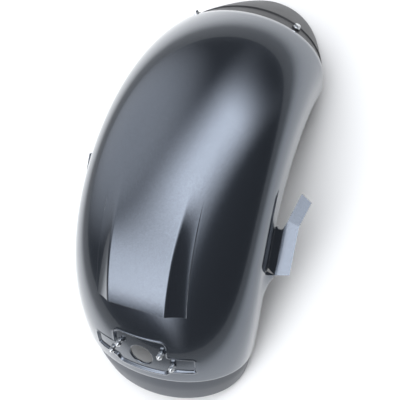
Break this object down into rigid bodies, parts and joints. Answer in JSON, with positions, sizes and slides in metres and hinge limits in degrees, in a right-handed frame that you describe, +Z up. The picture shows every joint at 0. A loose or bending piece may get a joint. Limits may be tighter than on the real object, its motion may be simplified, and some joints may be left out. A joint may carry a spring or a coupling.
{
  "type": "motorcycle rear fender",
  "caption": "Wide rear motorcycle fender: arched shell with raised pad, lamp recess with studs and wiring hole, inner tail lip, front tongue and side brackets.",
  "frame": {"origin": "middle of the length and width on the plane that the fender stands on", "axes": "+X to the fender's front end, +Y to its left side, +Z up; the fender is pitched nose-down as it stands on the floor"},
  "size_m": [0.623, 0.3436, 0.2292],
  "materials": {
    "shell_paint": "gloss metallic dark grey clear coat",
    "lip_plastic": "satin dark grey",
    "tongue_plastic": "satin black",
    "bracket_paint": "gloss metallic dark grey clear coat",
    "zinc_steel": "bright zinc"
  },
  "bodies": {
    "root": {"fender_shell": "shell_paint", "tail_lip": "lip_plastic", "front_tongue": "tongue_plastic", "bracket_left": "bracket_paint", "bracket_right": "bracket_paint", "bolt_left": "zinc_steel", "bolt_right": "zinc_steel", "washer_left": "zinc_steel", "washer_right": "zinc_steel", "bolt_nut_left": "zinc_steel", "bolt_nut_right": "zinc_steel", "stud_upper_left": "zinc_steel", "stud_upper_right": "zinc_steel", "stud_lower_left": "zinc_steel", "stud_lower_right": "zinc_steel", "stud_nut_upper_left": "zinc_steel", "stud_nut_upper_right": "zinc_steel", "stud_nut_lower_left": "zinc_steel", "stud_nut_lower_right": "zinc_steel"}
  },
  "joints": []
}
